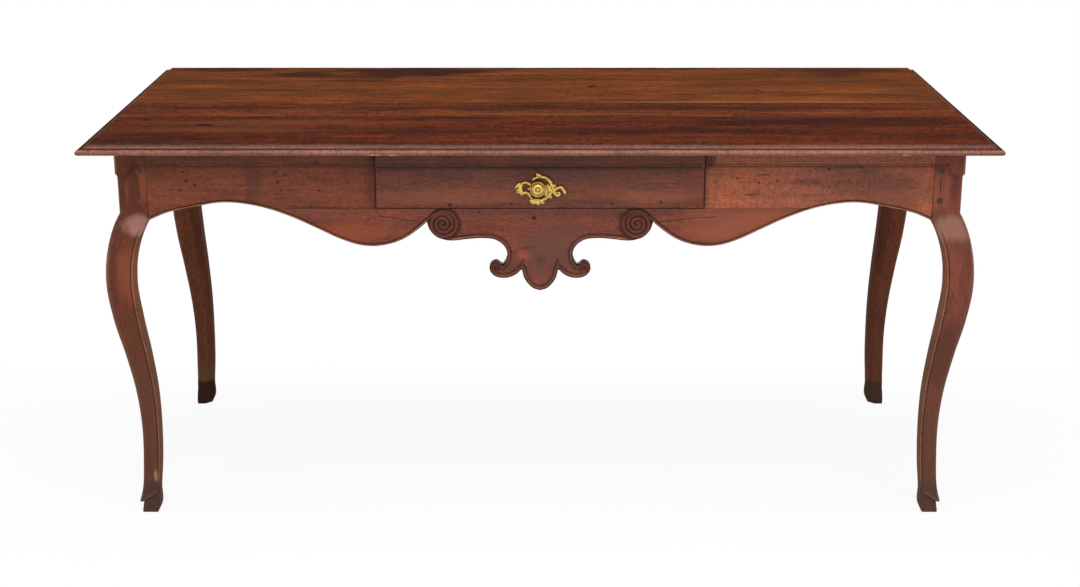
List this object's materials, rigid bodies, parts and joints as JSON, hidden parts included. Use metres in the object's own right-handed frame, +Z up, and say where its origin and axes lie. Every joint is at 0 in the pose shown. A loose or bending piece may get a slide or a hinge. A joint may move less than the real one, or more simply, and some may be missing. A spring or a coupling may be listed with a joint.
{
  "type": "writing table",
  "caption": "Long wooden writing table with a moulded top, scalloped and scrolled apron, cabriole legs on hoof feet and a shallow drawer with a gilt brass pull.",
  "frame": {"origin": "on the floor, under the middle of the top", "axes": "+Z up, +X along the top to the sitter's right as seen from the front, the drawer faces -Y"},
  "size_m": [1.686, 0.84, 0.761],
  "materials": {
    "top_wood": "old wax polish, worn",
    "frame_wood": "old wax polish",
    "leg_wood": "old wax polish, rubbed on the knees",
    "peg_wood": "dark end grain",
    "inner_wood": "bare, unpolished",
    "gilt_brass": "gilt, bright on the high spots"
  },
  "bodies": {
    "frame": {"apron_back": "frame_wood", "apron_front_left": "frame_wood", "apron_front_lower": "frame_wood", "apron_front_right": "frame_wood", "apron_side_left": "frame_wood", "apron_side_right": "frame_wood", "drawer_guide_left": "inner_wood", "drawer_guide_right": "inner_wood", "drawer_kicker_left": "inner_wood", "drawer_kicker_right": "inner_wood", "drawer_runner_left": "inner_wood", "drawer_runner_right": "inner_wood", "drawer_stop_left": "inner_wood", "drawer_stop_right": "inner_wood", "leg_back_left": "leg_wood", "leg_back_right": "leg_wood", "leg_front_left": "leg_wood", "leg_front_right": "leg_wood", "peg_back_left_lower": "peg_wood", "peg_back_left_upper": "peg_wood", "peg_back_right_lower": "peg_wood", "peg_back_right_upper": "peg_wood", "peg_front_left_lower": "peg_wood", "peg_front_left_upper": "peg_wood", "peg_front_right_lower": "peg_wood", "peg_front_right_upper": "peg_wood", "peg_side_left_back_lower": "peg_wood", "peg_side_left_back_upper": "peg_wood", "peg_side_left_front_lower": "peg_wood", "peg_side_left_front_upper": "peg_wood", "peg_side_right_back_lower": "peg_wood", "peg_side_right_back_upper": "peg_wood", "peg_side_right_front_lower": "peg_wood", "peg_side_right_front_upper": "peg_wood", "top_board_back": "top_wood", "top_board_front": "top_wood", "top_board_middle": "top_wood", "top_peg_left_back": "peg_wood", "top_peg_left_front": "peg_wood", "top_peg_right_back": "peg_wood", "top_peg_right_front": "peg_wood"},
    "drawer": {"drawer_back": "inner_wood", "drawer_bottom": "inner_wood", "drawer_front": "frame_wood", "drawer_knob": "gilt_brass", "drawer_side_left": "inner_wood", "drawer_side_right": "inner_wood", "knob_back_plate": "gilt_brass", "knob_nut": "gilt_brass", "knob_washer": "gilt_brass", "plate_pin_left": "gilt_brass", "plate_pin_right": "gilt_brass"}
  },
  "joints": [
    {"name": "drawer_slide", "type": "slide", "parent": "frame", "child": "drawer", "axis": [0, -1, 0], "range_m": [0, 0.36]}
  ]
}
